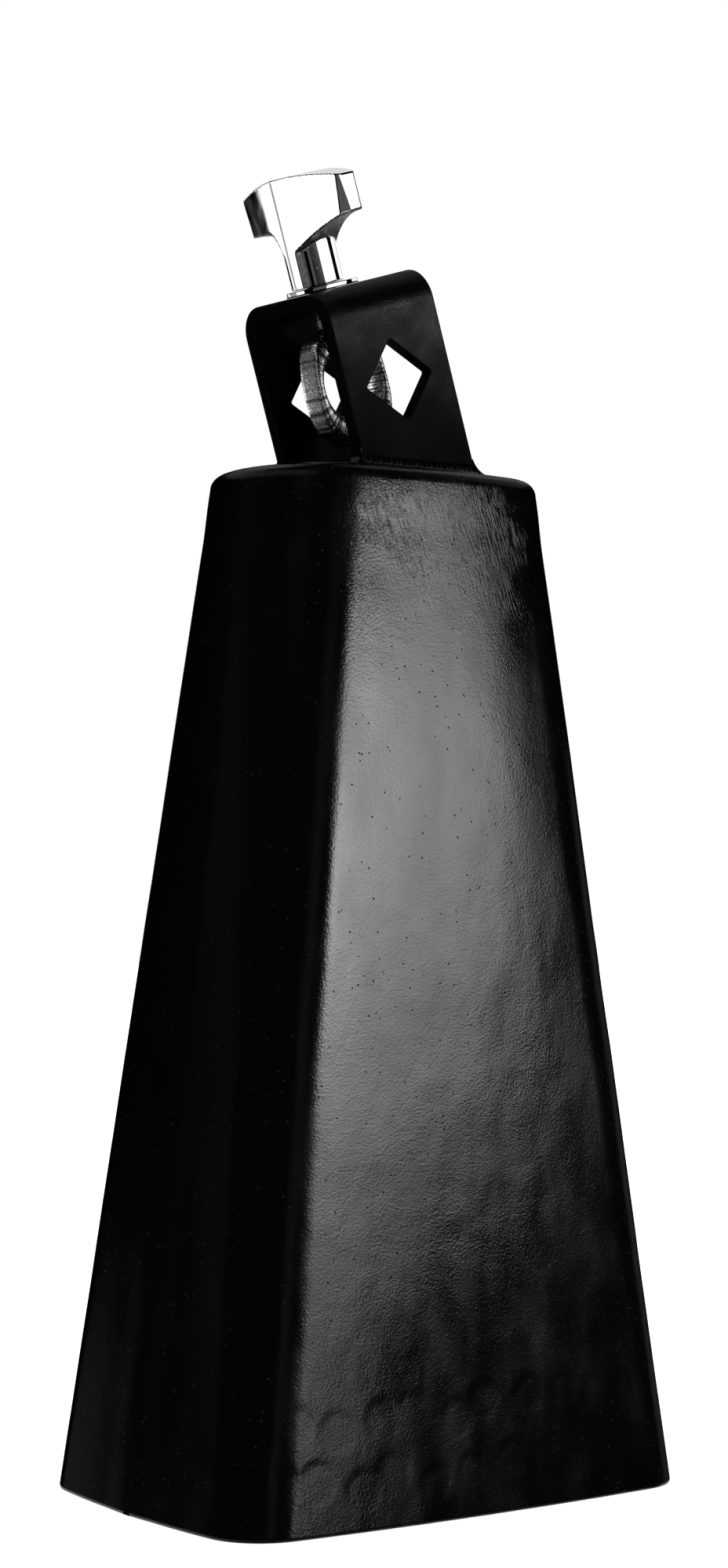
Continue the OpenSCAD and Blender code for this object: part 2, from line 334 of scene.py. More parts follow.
def shell_paint():
    """Thin black gloss over sheet steel: fine grain, small pits, and sanding strokes near the top."""
    paint = Finish("shell_paint", 0, 0.13)
    clouds = paint.noise(9 * MM, 4)
    pits = paint.spots(2 * MM, 0.2 * MM)
    paint.colour(0.0008, 0.0018, clouds)
    blotches = paint.noise(1, 2, paint.stretched((0, 0, 0), (9 * MM, 9 * MM, 20 * MM)))
    cloudy = paint.ranged(blotches, 0.35, 0.65, 0.1, 0.2)
    paint.bump(paint.noise(0.45 * MM, 3), 0.034 * MM)
    paint.bump(paint.noise(5 * MM, 2), 0.035 * MM)
    strokes = paint.noise(1, 1, paint.stretched((0, 17, 0), (0.24 * MM, 0.6 * MM, 4 * MM)))
    high = paint.ranged(paint.axis("Z"), 168 * MM, 186 * MM, 0, 1)
    patchy = paint.ranged(paint.noise(9 * MM, 1), 0.33, 0.5, 0.1, 1)
    where_sanded = paint.maths("MULTIPLY", high, patchy)
    sanded = paint.maths("MULTIPLY", where_sanded, paint.ranged(strokes, 0.48, 0.66, 0, 1))
    paint.bump(sanded, 0.022 * MM)
    dull = paint.maths("ADD", paint.maths("MULTIPLY", pits, 0.5), paint.maths("MULTIPLY", sanded, 0.06))
    paint.roughness(paint.maths("ADD", cloudy, dull))
    paint.bump(paint.maths("MULTIPLY", pits, -1), 0.15 * MM)
    return paint.material


def weld_paint():
    """The same black over weld metal: lumpier and a little duller."""
    paint = Finish("weld_paint", 0, 0.17)
    lumps = paint.noise(1.6 * MM, 3)
    paint.colour(0.0008, 0.0018, lumps)
    paint.roughness(paint.ranged(lumps, 0.3, 0.7, 0.14, 0.2))
    paint.bump(lumps, 0.012 * MM)
    paint.bump(paint.noise(0.4 * MM, 2), 0.008 * MM)
    return paint.material


def strap_paint():
    """Satin black with a fine even grain, duller towards the welded feet."""
    paint = Finish("strap_paint", 0, 0.36, 0.2)
    grain = paint.noise(0.35 * MM, 3)
    clouds = paint.noise(7 * MM, 3)
    paint.colour(0.001, 0.0022, clouds)
    cloudy = paint.ranged(clouds, 0.35, 0.65, 0.26, 0.42)
    dull = paint.ranged(paint.axis("Z"), 209 * MM, 236 * MM, 0.5, 0)
    paint.roughness(paint.maths("ADD", cloudy, dull))
    paint.bump(grain, 0.07 * MM)
    paint.bump(clouds, 0.25 * MM)
    return paint.material


def inside_paint():
    """The strap's inside, where the spray lies thin and dull."""
    paint = Finish("inside_paint", 0, 0.6, 0.05)
    clouds = paint.noise(5 * MM, 3)
    paint.colour(0.0008, 0.002, clouds)
    paint.roughness(paint.ranged(clouds, 0.3, 0.7, 0.55, 0.75))
    paint.bump(paint.noise(0.3 * MM, 3), 0.03 * MM)
    return paint.material


def bright_chrome():
    """Mirror plating with the faint waviness of the casting under it."""
    plate = Finish("bright_chrome", 1, 0.05)
    smear = plate.noise(5 * MM, 4)
    plate.colour(0.68, 0.95, smear)
    plate.roughness(plate.ranged(smear, 0.35, 0.65, 0.035, 0.09))
    plate.bump(plate.noise(7 * MM, 1), 0.02 * MM)
    return plate.material


def as_cast():
    """Plating over the unpolished hollows: grainy and dull, with bright specks. Its dark colour is painted
    shade for the hollows under the wings and the nook beside the rib.
    """
    plate = Finish("as_cast", 1, 0.5)
    specks = plate.spots(1.3 * MM, 0.25 * MM)
    # the dark 0.1 is painted shade for the hollows under the wings and beside the rib; the bright specks are
    # the casting's grain
    plate.colour(0.1, 0.75, specks)
    plate.roughness(plate.ranged(plate.noise(0.8 * MM, 3), 0.3, 0.7, 0.35, 0.6))
    plate.bump(plate.noise(0.6 * MM, 3), 0.08 * MM)
    return plate.material


def cast_chrome():
    """Plating over a rough casting: speckled, with streaks that run out from the eye's hole."""
    plate = Finish("cast_chrome", 1, 0.3)
    grain = plate.noise(0.5 * MM, 4)
    centred = plate.node("ShaderNodeVectorMath", operation="SUBTRACT")
    centred.inputs[1].default_value = EYE_MIDDLE
    plate.join(plate.place, centred.inputs[0])
    upright = plate.node("ShaderNodeMapping")
    upright.inputs["Rotation"].default_value = (math.radians(90), 0, 0)
    plate.join(centred.outputs[0], upright.inputs["Vector"])
    round_about = plate.node("ShaderNodeTexGradient", gradient_type="RADIAL")
    plate.join(upright.outputs["Vector"], round_about.inputs["Vector"])
    streaks = plate.node("ShaderNodeTexNoise", noise_dimensions="1D")
    streaks.inputs["Scale"].default_value = 60
    streaks.inputs["Detail"].default_value = 1
    plate.join(round_about.outputs["Fac"], streaks.inputs["W"])
    ridges = plate.ranged(streaks.outputs["Fac"], 0.32, 0.54, 0, 1)
    bright = plate.maths("MULTIPLY", ridges, plate.ranged(grain, 0.3, 0.7, 0.5, 1))
    plate.colour(0.16, 0.95, bright)
    plate.roughness(plate.ranged(grain, 0.3, 0.7, 0.16, 0.36))
    plate.bump(streaks.outputs["Fac"], 0.25 * MM)
    plate.bump(grain, 0.055 * MM)
    return plate.material


# ---- Bell ----
SIDE_COLUMNS = 14
CORNER_COLUMNS = 20
FACE_COLUMNS = 64
SIDE_ROWS = 205
BEND_ROWS = 7
CAP_ROWS = 14
RIM_ROWS = 4
RIM_R = 0.5 * MM


def section_sizes(z):
    """Half sizes and corner radius of the bell's outside at height z."""
    t = min(z, BELL_H - TOP_EDGE_R) / BELL_H
    half_x = mix(MOUTH_HALF_X, TOP_HALF_X, t)
    half_y = mix(MOUTH_HALF_Y, TOP_HALF_Y, t)
    return half_x, half_y, mix(MOUTH_CORNER_R, TOP_CORNER_R, t)


def half_outline(z, inset):
    """Points of the section's +Y half with their normals' angles, from the +X seam to the -X seam."""
    half_x, half_y, r = section_sizes(z)
    core_x = half_x - r
    core_y = half_y - r
    bow_x = 2 * math.atan(SIDE_CROWN / core_y)
    bow_y = 2 * math.atan(SIDE_CROWN / core_x)
    reach = r - inset
    side_r = core_y / math.sin(bow_x) + reach
    face_r = core_x / math.sin(bow_y) + reach
    side_mid = core_x - core_y / math.tan(bow_x)
    face_mid = core_y - core_x / math.tan(bow_y)
    seam = math.asin(SEAM_HALF / side_r)
    quarter_turn = math.pi / 2
    points = []
    for k in range(SIDE_COLUMNS):
        a = mix(seam, bow_x, k / SIDE_COLUMNS)
        points.append((side_mid + side_r * math.cos(a), side_r * math.sin(a), a))
    for k in range(CORNER_COLUMNS):
        a = mix(bow_x, quarter_turn - bow_y, k / CORNER_COLUMNS)
        points.append((core_x + reach * math.cos(a), core_y + reach * math.sin(a), a))
    for k in range(FACE_COLUMNS + 1):
        a = mix(quarter_turn - bow_y, quarter_turn, k / FACE_COLUMNS)
        points.append((face_r * math.cos(a), face_mid + face_r * math.sin(a), a))
    return points + [(-x, y, math.pi - a) for x, y, a in reversed(points[:-1])]


def profile_rows():
    """Rows (height, inset, spread over the closed end) from the closed end's middle down the outside,
    round the rim and back up the inside. They crowd towards the mouth, where the dents are."""
    crowding = 1.3
    inner_r = TOP_EDGE_R - SHEET_T
    top = BELL_H - TOP_EDGE_R
    right_angle = math.pi / 2
    outside = [(BELL_H, TOP_EDGE_R, k / CAP_ROWS) for k in range(CAP_ROWS)]
    inside = [(BELL_H - SHEET_T, TOP_EDGE_R, k / CAP_ROWS) for k in range(CAP_ROWS)]
    for k in range(BEND_ROWS):
        a = right_angle * (1 - k / BEND_ROWS)
        outside.append((top + TOP_EDGE_R * math.sin(a), TOP_EDGE_R * (1 - math.cos(a)), 1))
        inside.append((top + inner_r * math.sin(a), SHEET_T + inner_r * (1 - math.cos(a)), 1))
    for k in range(SIDE_ROWS):
        z = mix(RIM_R, top, (1 - k / SIDE_ROWS) ** crowding)
        outside.append((z, 0, 1))
        inside.append((z, SHEET_T, 1))
    for k in range(RIM_ROWS + 1):
        a = right_angle * k / RIM_ROWS
        z = RIM_R * (1 - math.sin(a))
        lip = RIM_R * (1 - math.cos(a))
        outside.append((z, lip, 1))
        inside.append((z, SHEET_T - lip, 1))
    return outside + inside[::-1]


def hammer_marks(seed):
    """Overlapping round dents in two rows along the mouth, and lighter strays above them. Each mark
    is (x, z, radius, depth, crispness of its rim)."""
    pick = random.Random(seed)
    # height of a row, and where along the face it starts and ends, in millimetres
    upper_row = (20.5, -41, 43)
    lower_row = (8.5, -46, 48)
    row_crispness = 2.6
    stray_count = 16
    stray_crispness = 1
    marks = []
    for height, start, end in (upper_row, lower_row):
        x = start
        while x < end:
            place_x = (x + pick.uniform(-1.2, 1.2)) * MM
            place_z = (height + pick.uniform(-1.8, 1.8)) * MM
            radius = pick.uniform(3.6, 4.6) * MM
            depth = pick.uniform(0.05, 0.09) * MM
            marks.append((place_x, place_z, radius, depth, row_crispness))
            x += pick.uniform(7.6, 9.6)
    for _ in range(stray_count):
        place_x = pick.uniform(-38, 38) * MM
        place_z = pick.uniform(32, 120) * MM
        radius = pick.uniform(5, 8) * MM
        depth = pick.uniform(0.02, 0.05) * MM
        marks.append((place_x, place_z, radius, depth, stray_crispness))
    return marks


def dent_depth(marks, x, z):
    """The deepest mark wins. Each is a shallow scoop with a crisp rim, deepest on its upper side."""
    deepest = 0
    for mark_x, mark_z, radius, depth, crispness in marks:
        share = 1 - ((x - mark_x) ** 2 + (z - mark_z) ** 2) / radius ** 2
        if share > 0:
            scoop = 0.6 + 0.4 * (z - mark_z) / radius
            deepest = max(deepest, depth * scoop * min(share * crispness, 1))
    return deepest


def relief(marks, x, y, z, angle, seed):
    """How far the hammered sheet lies inside its smooth outline: waves all over, calmer in the upper
    half, and dents on the wide face. The seams and the bend to the closed end stay true."""
    wide_face = smooth_step(0.8, 0.97, math.sin(angle))
    away_from_seam = smooth_step(1.5 * MM, 9 * MM, y)
    below_bend = 1 - smooth_step(BELL_H - 14 * MM, BELL_H - 5 * MM, z)
    calmer_above = mix(1, 0.35, smooth_step(110 * MM, 150 * MM, z))
    broad = 0.16 + 0.1 * rough_noise(x / (34 * MM), z / (44 * MM), seed, 2)
    fine = 0.09 + 0.055 * rough_noise(x / (11 * MM), z / (17 * MM), seed + 7, 3)
    waves = broad + calmer_above * fine
    dents = dent_depth(marks, x, z) * wide_face
    return (waves * MM + dents) * away_from_seam * below_bend


def shell(name, side, seed):
    """One pressed half of the bell: side is -1 for the front and 1 for the back."""
    marks = hammer_marks(seed)
    rows = profile_rows()
    points = []
    for z, inset, spread in rows:
        for x, y, a in half_outline(z, inset):
            sink = relief(marks, x, y, z, a, seed)
            y_full = y - sink * math.sin(a)
            y_here = mix(SEAM_HALF, y_full, spread)
            points.append((x - sink * math.cos(a), side * y_here, z))
    columns = len(points) // len(rows)
    faces = grid_faces(len(rows), columns)
    last = len(rows) - 1
    for j in range(columns - 1):
        faces.append((j, j + 1, last * columns + j + 1, last * columns + j))
    for edge in (0, columns - 1):
        for k in range(len(rows) // 2):
            near = k * columns + edge
            far = (last - k) * columns + edge
            faces.append((near, near + columns, far - columns, far))
    return make_object(name, points, faces)


# ---- Seam welds ----
SEAM_COLUMNS = 8


def seam_line():
    """Outer and inner points (x, z) of the +X seam, from the mouth up and over to the top seam."""
    outer = []
    inner = []
    top = BELL_H - TOP_EDGE_R
    inner_r = TOP_EDGE_R - SHEET_T
    for k in range(SIDE_ROWS + 1):
        z = top * k / SIDE_ROWS
        half_x, half_y, r = section_sizes(z)
        core_y = half_y - r
        bow_x = 2 * math.atan(SIDE_CROWN / core_y)
        x = half_x + core_y * math.tan(bow_x / 2)
        outer.append((x, z))
        inner.append((x - SHEET_T, z))
    bend_x = outer[-1][0] - TOP_EDGE_R
    for k in range(1, BEND_ROWS + 1):
        a = math.pi / 2 * k / BEND_ROWS
        outer.append((bend_x + TOP_EDGE_R * math.cos(a), top + TOP_EDGE_R * math.sin(a)))
        inner.append((bend_x + inner_r * math.cos(a), top + inner_r * math.sin(a)))
    outer.append((SEAM_TURN_X, BELL_H))
    inner.append((SEAM_TURN_X, BELL_H - SHEET_T))
    return outer, inner


def weld_strip(name, outer, inner, seed):
    """A ground seam weld: nearly flush outside, and a rippled root bead standing proud inside."""
    ripple_run = 0.35 * MM
    rings = []
    travelled = 0
    for k, (out, back) in enumerate(zip(outer, inner)):
        if k:
            travelled += math.dist(out, outer[k - 1])
        through = Vector((back[0] - out[0], 0, back[1] - out[1])).normalized()
        ring = []
        for j in range(SEAM_COLUMNS + 1):
            y = mix(-SEAM_HALF, SEAM_HALF, j / SEAM_COLUMNS)
            arch = 1 - (y / SEAM_HALF) ** 2
            ground = 0.015 * MM * arch * (1 + rough_noise(travelled / (2.5 * MM), y / (1.5 * MM), seed))
            ring.append(Vector((out[0], y, out[1])) + through * ground)
        for j in range(SEAM_COLUMNS, -1, -1):
            y = mix(-SEAM_HALF, SEAM_HALF, j / SEAM_COLUMNS)
            arch = 1 - (y / SEAM_HALF) ** 2
            proud = 0.5 + 0.12 * math.sin(travelled / ripple_run)
            proud += 0.1 * rough_noise(travelled / (3 * MM), y, seed)
            ring.append(Vector((back[0], y, back[1])) + through * arch * proud * MM)
        rings.append(ring)
    return lofted(name, rings)


def side_seam(name, side, seed):
    """The weld up one narrow side: side is -1 for the left and 1 for the right."""
    outer, inner = seam_line()
    return weld_strip(name, [(side * x, z) for x, z in outer], [(side * x, z) for x, z in inner], seed)


def top_seam(name, seed):
    """The weld over the closed end, between the two side welds."""
    steps = 60
    stations = [mix(-SEAM_TURN_X, SEAM_TURN_X, k / steps) for k in range(steps + 1)]
    return weld_strip(name, [(x, BELL_H) for x in stations], [(x, BELL_H - SHEET_T) for x in stations], seed)


# ---- Bracket ----
BRACKET_EDGE_R = 0.4 * MM
BEND_CUTS = 12
MID_BEND_R = STRAP_BEND_R - STRAP_T / 2
TOP_FLAT_HALF = STRAP_SPAN / 2 - STRAP_BEND_R
BEND_LENGTH = MID_BEND_R * math.pi / 2
BEND_LOW = STRAP_TOP - STRAP_BEND_R


def foot_height(across):
    """Height of the bell's closed end in the clamp frame, at a place across the strap."""
    return (-ROD_ABOVE_BELL - across * math.sin(LEAN)) / math.cos(LEAN)


def rounded_corner(corner, before, after, radius, steps=5):
    """Points of an arc that rounds a corner of a flat outline."""
    to_before = (before - corner).normalized()
    to_after = (after - corner).normalized()
    half = to_before.angle(to_after) / 2
    middle = corner + (to_before + to_after).normalized() * radius / math.sin(half)
    start = corner + to_before * radius / math.tan(half) - middle
    end = corner + to_after * radius / math.tan(half) - middle
    turn = start.angle_signed(end)
    arc = []
    for k in range(steps + 1):
        spin = Matrix.Rotation(-turn * k / steps, 2)
        arc.append(middle + spin @ start)
    return arc


def rounded_outline(corners, radius):
    """A closed flat outline with every corner rounded."""
    points = []
    for k, corner in enumerate(corners):
        points += rounded_corner(corner, corners[k - 1], corners[(k + 1) % len(corners)], radius)
    return points


def flat_plate(name, outlines, thickness, edge_r):
    """A stamped plate with holes, every edge rounded. Its sizes and its mesh are in millimetres."""
    curve = bpy.data.curves.new(name, "CURVE")
    curve.dimensions = "2D"
    curve.fill_mode = "BOTH"
    curve.extrude = thickness / 2 - edge_r
    curve.bevel_depth = edge_r
    curve.bevel_resolution = 2
    curve.offset = -edge_r
    for outline in outlines:
        spline = curve.splines.new("POLY")
        spline.points.add(len(outline) - 1)
        spline.use_cyclic_u = True
        for point, place in zip(spline.points, outline):
            point.co = (place[0], place[1], 0, 1)
    return bake_curve(link(bpy.data.objects.new(name, curve)))


def bake_curve(obj):
    """Swaps a curve object for a mesh object of the same name and shape."""
    shown = bpy.context.evaluated_depsgraph_get()
    mesh = bpy.data.meshes.new_from_object(obj.evaluated_get(shown))
    name = obj.name
    bpy.data.objects.remove(obj)
    return link(bpy.data.objects.new(name, mesh))


def bent(along, across, proud):
    """Where a point of the strap lies once it is bent. Proud is its height over the middle layer."""
    side = 1 if along > 0 else -1
    past_flat = abs(along) - TOP_FLAT_HALF
    if past_flat <= 0:
        return Vector((across, along, STRAP_TOP - STRAP_T / 2 + proud))
    if past_flat < BEND_LENGTH:
        a = past_flat / MID_BEND_R
        r = MID_BEND_R + proud
        return Vector((across, side * (TOP_FLAT_HALF + r * math.sin(a)), BEND_LOW + r * math.cos(a)))
    down = past_flat - BEND_LENGTH
    return Vector((across, side * (TOP_FLAT_HALF + MID_BEND_R + proud), BEND_LOW - down))


def bracket(name):
    """The strap is stamped flat with its holes, then bent over two edges. Its feet are cut to the
    closed end's slant and sunk a little into the welds."""
    leg_start = TOP_FLAT_HALF + BEND_LENGTH + BEND_LOW
    sunk = 0.3 * MM
    # the flat plate is drawn in millimetres
    body_corner_r = 0.6
    diamond_corner_r = 0.45
    half_w = STRAP_W / 2
    low_end = leg_start - foot_height(half_w) + sunk
    high_end = leg_start - foot_height(-half_w) + sunk
    body = [Vector(p) / MM for p in
            ((low_end, half_w), (high_end, -half_w), (-high_end, -half_w), (-low_end, half_w))]
    outlines = [rounded_outline(body, body_corner_r)]
    reach = DIAMOND_SIDE / math.sqrt(2)
    for middle in (leg_start, -leg_start):
        diamond = [Vector(p) / MM for p in
                   ((middle + reach, 0), (middle, reach), (middle - reach, 0), (middle, -reach))]
        outlines.append(rounded_outline(diamond, diamond_corner_r))
    hole = [(STRAP_HOLE_R * math.cos(a), STRAP_HOLE_SHIFT + STRAP_HOLE_R * math.sin(a))
            for a in full_turn(48)]
    outlines.append([Vector(p) / MM for p in hole])
    obj = flat_plate(name, outlines, STRAP_T / MM, BRACKET_EDGE_R / MM)
    work = bmesh.new()
    work.from_mesh(obj.data)
    bmesh.ops.remove_doubles(work, verts=work.verts, dist=0.001)
    for side in (-1, 1):
        for k in range(BEND_CUTS + 1):
            cut = side * (TOP_FLAT_HALF + BEND_LENGTH * k / BEND_CUTS) / MM
            everything = work.verts[:] + work.edges[:] + work.faces[:]
            bmesh.ops.bisect_plane(work, geom=everything, plane_co=(cut, 0, 0), plane_no=(1, 0, 0))
    work.normal_update()
    for face in work.faces:
        face.material_index = 1 if face.normal.z < -0.5 else 0
    for vert in work.verts:
        flat = vert.co * MM
        vert.co = CLAMP_FRAME @ bent(flat.x, flat.y, flat.z)
    work.to_mesh(obj.data)
    work.free()
    clean_mesh(obj.data, 40)
    flat_faces_first(obj)
    return obj


# ---- Bracket welds ----
def bead_path():
    """Stations round the -Y cheek's foot: place on the closed end, way out, and the bead's leg."""
    step = math.tan(LEAN)
    middle = ROD_X + ROD_ABOVE_BELL * step
    half = STRAP_W / 2 / math.cos(LEAN)
    cheek = -STRAP_SPAN / 2
    stations = []
    edge_steps = 6
    turn_steps = 8
    face_steps = 56
    for k in range(edge_steps):
        y = mix(cheek + STRAP_T, cheek, k / edge_steps)
        stations.append((middle + half, y, 0, END_BEAD_LEG))
    for k in range(turn_steps + 1):
        share = k / turn_steps
        stations.append((middle + half, cheek, share * 90, mix(END_BEAD_LEG, SIDE_BEAD_LEG, share)))
    for k in range(1, face_steps):
        stations.append((mix(middle + half, middle - half, k / face_steps), cheek, 90, SIDE_BEAD_LEG))
    for k in range(turn_steps + 1):
        share = k / turn_steps
        stations.append((middle - half, cheek, 90 + share * 90, mix(SIDE_BEAD_LEG, END_BEAD_LEG, share)))
    for k in range(1, edge_steps + 1):
        y = mix(cheek, cheek + STRAP_T, k / edge_steps)
        stations.append((middle - half, y, 180, END_BEAD_LEG))
    return stations


def foot_weld(name, side, seed):
    """A hollow-faced fillet bead with the ripples of its weld pool, round one cheek's foot."""
    step = math.tan(LEAN)
    bury = 0.4 * MM
    hollowness = 0.36
    ripple_height = 0.07 * MM
    ripple_run = 0.2 * MM
    face_points = 10
    rings = []
    travelled = 0
    before = None
    for x, y, turn, leg in bead_path():
        out = Vector((math.cos(math.radians(turn)), -math.sin(math.radians(turn)), 0))
        toe = Vector((x, y, BELL_H)) + out * leg
        if before is not None:
            travelled += (toe - before).length
        before = toe
        uneven = 1 + 0.06 * rough_noise(travelled / (4 * MM), 0, seed)
        ring = [Vector((x, y, BELL_H - bury)) - out * bury]
        ring.append(toe - Vector((0, 0, bury)))
        for k in range(face_points + 1):
            t = k / face_points
            hollow = hollowness * leg * 2 * t * (1 - t)
            ripple = ripple_height * math.sin(math.pi * t) * math.sin(travelled / ripple_run + 2 * t)
            away = leg * uneven * (1 - t) - hollow + ripple
            up = leg * uneven * t - hollow + ripple
            ring.append(Vector((x - up * step, y, BELL_H + max(up, 0))) + out * max(away, 0))
        ring.append(Vector((x - leg * step, y, BELL_H + leg)) - out * bury)
        rings.append([Vector((p.x, -side * p.y, p.z)) for p in ring])
    return lofted(name, rings, 50)


# ---- Eye bolt ----
# Outline of the eye's +X half, from its foot up to its neck, in millimetres: how far from the bolt's
# axis, and how high above the rod's.
EYE_OUTLINE = [
    (3.2, -11.2), (5.6, -9.8), (7.4, -7.8), (8.3, -5.6), (8.8, -2.6), (8.8, 0.4),
    (8.7, 4), (8.2, 7.2), (7.3, 10.3), (5.6, 11.6), (3, 12.9),
]


def eye_reach(turn):
    """Distance from the hole's middle to the eye's outline, at an angle from straight up."""
    parallel = 1e-12
    slack = 1e-6
    way = Vector((abs(math.sin(turn)), math.cos(turn)))
    outline = [Vector((x, z)) * MM - Vector((0, EYE_RISE)) for x, z in EYE_OUTLINE]
    outline = [Vector((0, outline[0].y))] + outline + [Vector((0, outline[-1].y))]
    for a, b in zip(outline, outline[1:]):
        edge = b - a
        crossing = way.x * edge.y - way.y * edge.x
        if abs(crossing) < parallel:
            continue
        distance = (a.x * edge.y - a.y * edge.x) / crossing
        share = (a.x * way.y - a.y * way.x) / crossing
        if distance > 0 and -slack <= share <= 1 + slack:
            return distance
    return -outline[0].y


def eye_ring():
    """The cast eye: a band round the hole whose faces are rounded like a worn ring."""
    steps = 120
    section_steps = 28
    blur = 1
    outer_power = 2 / 6
    hole_power = 2 / 2.4
    reaches = [eye_reach(a) for a in full_turn(steps)]
    rings = []
    for k, a in enumerate(full_turn(steps)):
        outer = sum(reaches[(k + d) % steps] for d in range(-blur, blur + 1)) / (2 * blur + 1)
        middle = (outer + EYE_HOLE_R) / 2
        half_w = (outer - EYE_HOLE_R) / 2
        ring = []
        for b in full_turn(section_steps):
            power = outer_power if math.cos(b) > 0 else hole_power
            wide = math.copysign(abs(math.cos(b)) ** power, math.cos(b))
            deep = math.copysign(abs(math.sin(b)) ** power, math.sin(b))
            r = middle + half_w * wide
            ring.append((r * math.sin(a), EYE_T / 2 * deep, EYE_RISE + r * math.cos(a)))
        rings.append(ring)
    points = [p for ring in rings for p in ring]
    faces = grid_faces(steps, section_steps, close_rows=True, close_columns=True)
    return make_object("eye_ring", points, faces, 60)


def eye_neck():
    """The shoulder between the eye and its shank, hollowed like a fillet and as thin as the eye."""
    low = 8.4 * MM
    high = THREAD_LOW
    foot_r = 6.4 * MM
    # the radius that is squeezed to half the eye's thickness
    thin_r = 5 * MM
    hollowness = 2.4
    steps = 10
    profile = [(0, low)]
    for k in range(steps + 1):
        t = k / steps
        r = mix(foot_r, THREAD_R, 1 - (1 - t) ** hollowness)
        profile.append((r, mix(low, high - 1 * MM, t)))
    profile.append((THREAD_R, high + 0.5 * MM))
    profile.append((0, high + 0.5 * MM))
    neck = revolved("eye_neck", profile, 48)
    flatten = Matrix.Diagonal((1, EYE_T / (2 * thin_r), 1, 1))
    neck.data.transform(flatten)
    return neck


def threaded_shank():
    """A screw thread: one helical ridge that runs out at both ends, and a blunt point."""
    around = 48
    per_turn = 10
    run_out = 0.5 * MM
    point_length = 0.8 * MM
    point_share = 0.8
    low = THREAD_LOW - 2 * MM
    turns = math.ceil((BOLT_TIP - low) / THREAD_PITCH) + 1
    root_r = THREAD_R - THREAD_DEPTH
    rings = []
    for k in range(per_turn * turns + 1):
        ring = []
        for j, a in enumerate(full_turn(around)):
            raw = low + (k / per_turn + j / around - 1) * THREAD_PITCH
            z = min(max(raw, low), BOLT_TIP)
            ridge = abs(2 * (k % per_turn) / per_turn - 1)
            full = mix(root_r, THREAD_R, ridge)
            started = smooth_step(THREAD_LOW - run_out, THREAD_LOW + run_out, z)
            below_point = smooth_step(BOLT_TIP, BOLT_TIP - point_length, z)
            r = mix(THREAD_R, full, started) * mix(point_share, 1, below_point)
            ring.append((r * math.cos(a), r * math.sin(a), z))
        rings.append(ring)
    return lofted("threaded_shank", rings, 70)


def eye_bolt(name):
    """The eye and its neck are one casting, and the thread is cut on the shank above them."""
    body = fused(name, [eye_ring(), eye_neck()], 0.28 * MM, 4)
    combine(body, threaded_shank(), "UNION")
    body.data.transform(BOLT_FRAME)
    clean_mesh(body.data, 40)
    return body


# ---- Washer ----
def washer(name):
    """A punched washer: rolled upper edge, sharper lower edge, and a slight dish."""
    soft = 0.35 * MM
    crisp = 0.12 * MM
    steps = 4
    corners = [
        (WASHER_R, WASHER_T, soft, 0), (WASHER_HOLE_R, WASHER_T, crisp, 90),
        (WASHER_HOLE_R, 0, soft, 180), (WASHER_R, 0, crisp, 270),
    ]
    profile = []
    for x, z, r, turn in corners:
        middle_x = x - r if x == WASHER_R else x + r
        middle_z = z - r if z == WASHER_T else z + r
        for k in range(steps + 1):
            a = math.radians(turn + 90 * k / steps)
            profile.append((middle_x + r * math.cos(a), middle_z + r * math.sin(a)))
    return revolved(name, profile, 96, 50, BOLT_FRAME @ Matrix.Translation((0, 0, WASHER_LOW)))


# ---- Wing nut ----
def diamond_reach(middle_reach, along):
    """How far the wings' diamond reaches out at a place along them, with a blunted ridge."""
    crease = 0.25 * MM
    run = math.hypot(along, crease) - crease
    return mix(middle_reach, WING_HALF_TIP, run / WING_HALF_L)


def arch_height(along, back_share):
    """Height of the hollow under a wing. One wing is scooped higher at its back, the other in front."""
    gentle_power = 1.4
    steep_power = 2.6 if along < 0 else 8
    rise = WING_TIP_LOW - ARCH_LOW
    t = min(max((abs(along) - STEM_HALF_L) / (WING_HALF_L - STEM_HALF_L), 0), 1)
    gentle = WING_TIP_LOW - rise * (1 - t) ** gentle_power
    steep = WING_TIP_LOW - rise * (1 - t) ** steep_power
    return mix(gentle, steep, back_share if along < 0 else 1 - back_share)


def wing_body():
    """Both wings: a slim diamond from above and a crowned bar from the side, with the front corners
    cut flat and the ends eased."""
    half_steps = 44
    end_steps = 10
    crowding = 1.3
    end_r = 0.6 * MM
    end_inset = 0.4 * MM
    most_bow = 0.1 * MM
    flat_high = 0.5 * MM
    flat_low = 1.6 * MM
    side_points = 8
    end_start = WING_HALF_L - flat_low
    stations = [end_start * (k / half_steps) ** crowding for k in range(half_steps)]
    stations += [mix(end_start, WING_HALF_L, k / end_steps) for k in range(end_steps + 1)]
    stations = [-u for u in reversed(stations[1:])] + stations
    rings = []
    for u in stations:
        to_end = WING_HALF_L - abs(u)
        curl = max(1 - to_end / end_r, 0)
        inset = end_inset * (1 - math.sqrt(1 - curl ** 2))
        bow = most_bow * math.sin(math.pi * min(abs(u) / WING_HALF_L, 1))
        front = -diamond_reach(RIDGE_REACH, u) - bow
        front_high = front + max(flat_high - to_end, 0)
        front_low = front + max(flat_low - to_end, 0)
        back = diamond_reach(BACK_REACH, u) + bow - inset
        top = WING_CROWN - (WING_CROWN - WING_TIP_HIGH) * (u / WING_HALF_L) ** 2 - inset
        low = arch_height(u, 0) + inset
        low_back = arch_height(u, 1) + inset
        ring = [(mix(front_high, back, k / side_points), u, top) for k in range(side_points)]
        ring += [(back, u, mix(top, low_back, k / side_points)) for k in range(side_points)]
        for k in range(side_points):
            share = 1 - k / side_points
            ring.append((mix(front_low, back, share), u, arch_height(u, share) + inset))
        for k in range(side_points):
            share = k / side_points
            flat = mix(flat_low, flat_high, share)
            ring.append((front + max(flat - to_end, 0), u, mix(low, top, share)))
        rings.append(ring)
    return lofted("wing_body", rings)


